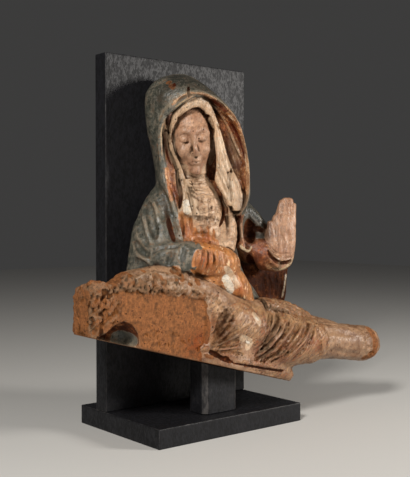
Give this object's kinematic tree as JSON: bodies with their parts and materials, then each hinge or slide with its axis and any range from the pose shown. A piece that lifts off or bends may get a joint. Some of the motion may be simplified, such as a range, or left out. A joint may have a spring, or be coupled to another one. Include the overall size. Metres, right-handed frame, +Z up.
{
  "type": "pieta statue",
  "caption": "Broken carved and painted wooden pieta, veiled mother with a dead body on her lap, held against the back board of a black stand.",
  "frame": {"origin": "centre of the base board's underside", "axes": "+Z up, +X to the viewer's right, +Y to the back, so the figure faces -Y"},
  "size_m": [0.5992, 0.2461, 0.59],
  "materials": {
    "stand_black": "satin black paint on sawn board, fine leathery texture, edges rubbed paler",
    "carved_wood": "worn paint over ground on old carved wood, bare and worm-eaten where it is broken"
  },
  "bodies": {
    "root": {"base_board": "stand_black", "back_board": "stand_black", "support_post": "stand_black", "pieta_carving": "carved_wood"}
  },
  "joints": []
}
